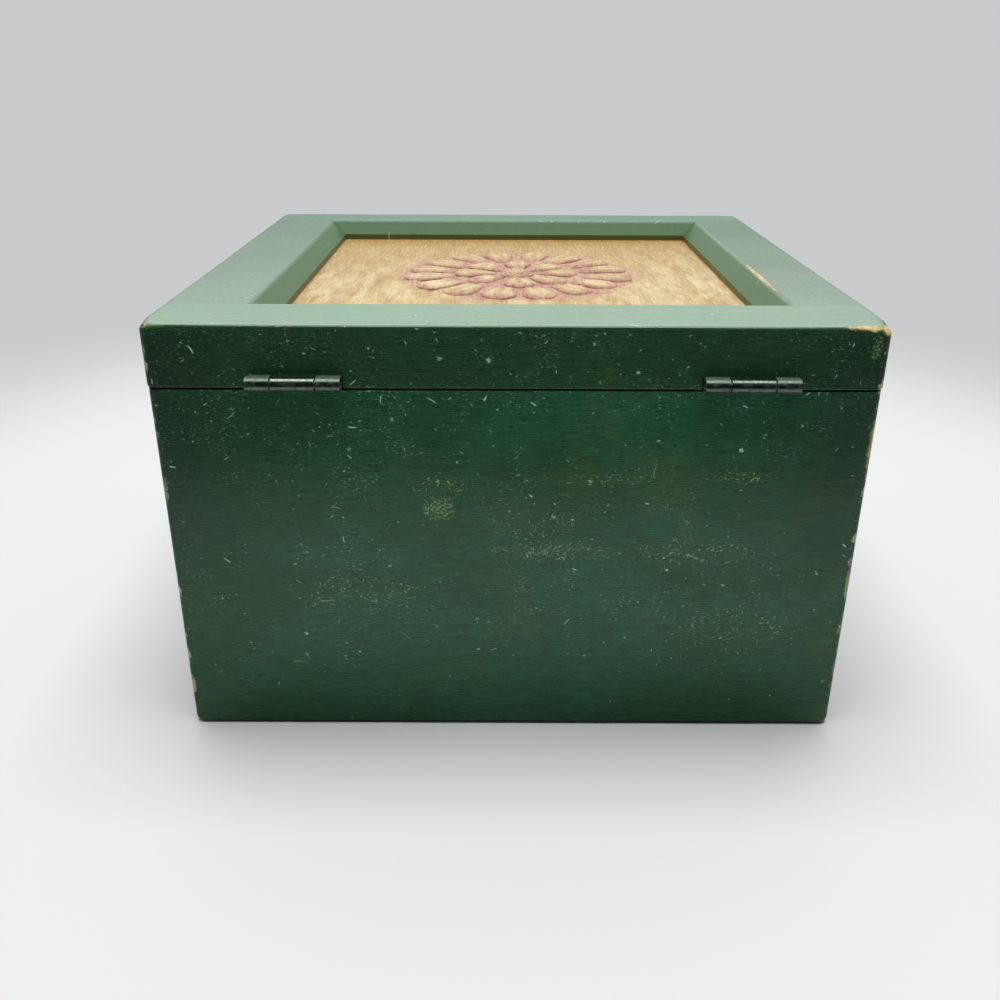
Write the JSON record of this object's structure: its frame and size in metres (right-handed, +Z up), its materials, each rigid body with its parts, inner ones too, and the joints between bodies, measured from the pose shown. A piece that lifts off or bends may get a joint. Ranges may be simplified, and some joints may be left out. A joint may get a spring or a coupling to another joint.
{
  "type": "keepsake box",
  "caption": "Square painted wooden keepsake box with a hinged framed lid, a bevelled opening and a recessed relief plaque.",
  "frame": {"origin": "middle of the underside, between the four walls, on the surface the box stands on", "axes": "+X to the right as seen from the front, +Y to the hinged rear, +Z up"},
  "size_m": [0.1966, 0.1998, 0.125],
  "materials": {
    "painted_wood": "satin",
    "bare_wood": "matte",
    "hardboard": "matte",
    "plaque": "satin",
    "steel": "aged"
  },
  "bodies": {
    "box": {"front_wall": "painted_wood", "rear_wall": "painted_wood", "left_wall": "painted_wood", "right_wall": "painted_wood", "bottom_panel": "bare_wood", "hinge_left_box_leaf": "steel", "hinge_right_box_leaf": "steel", "box_leaf_screws": "steel"},
    "lid": {"lid_front_rail": "painted_wood", "lid_rear_rail": "painted_wood", "lid_left_rail": "painted_wood", "lid_right_rail": "painted_wood", "relief_plaque": "plaque", "lid_backing": "hardboard", "backing_brads": "steel", "hinge_left_lid_leaf": "steel", "hinge_right_lid_leaf": "steel", "hinge_left_pin": "steel", "hinge_right_pin": "steel", "lid_leaf_screws": "steel"}
  },
  "joints": [
    {"name": "lid_hinge", "type": "hinge", "parent": "box", "child": "lid", "pos_m": [0, 0.0999, 0.1097], "axis": [-1, 0, 0], "range_deg": [0, 190]}
  ]
}
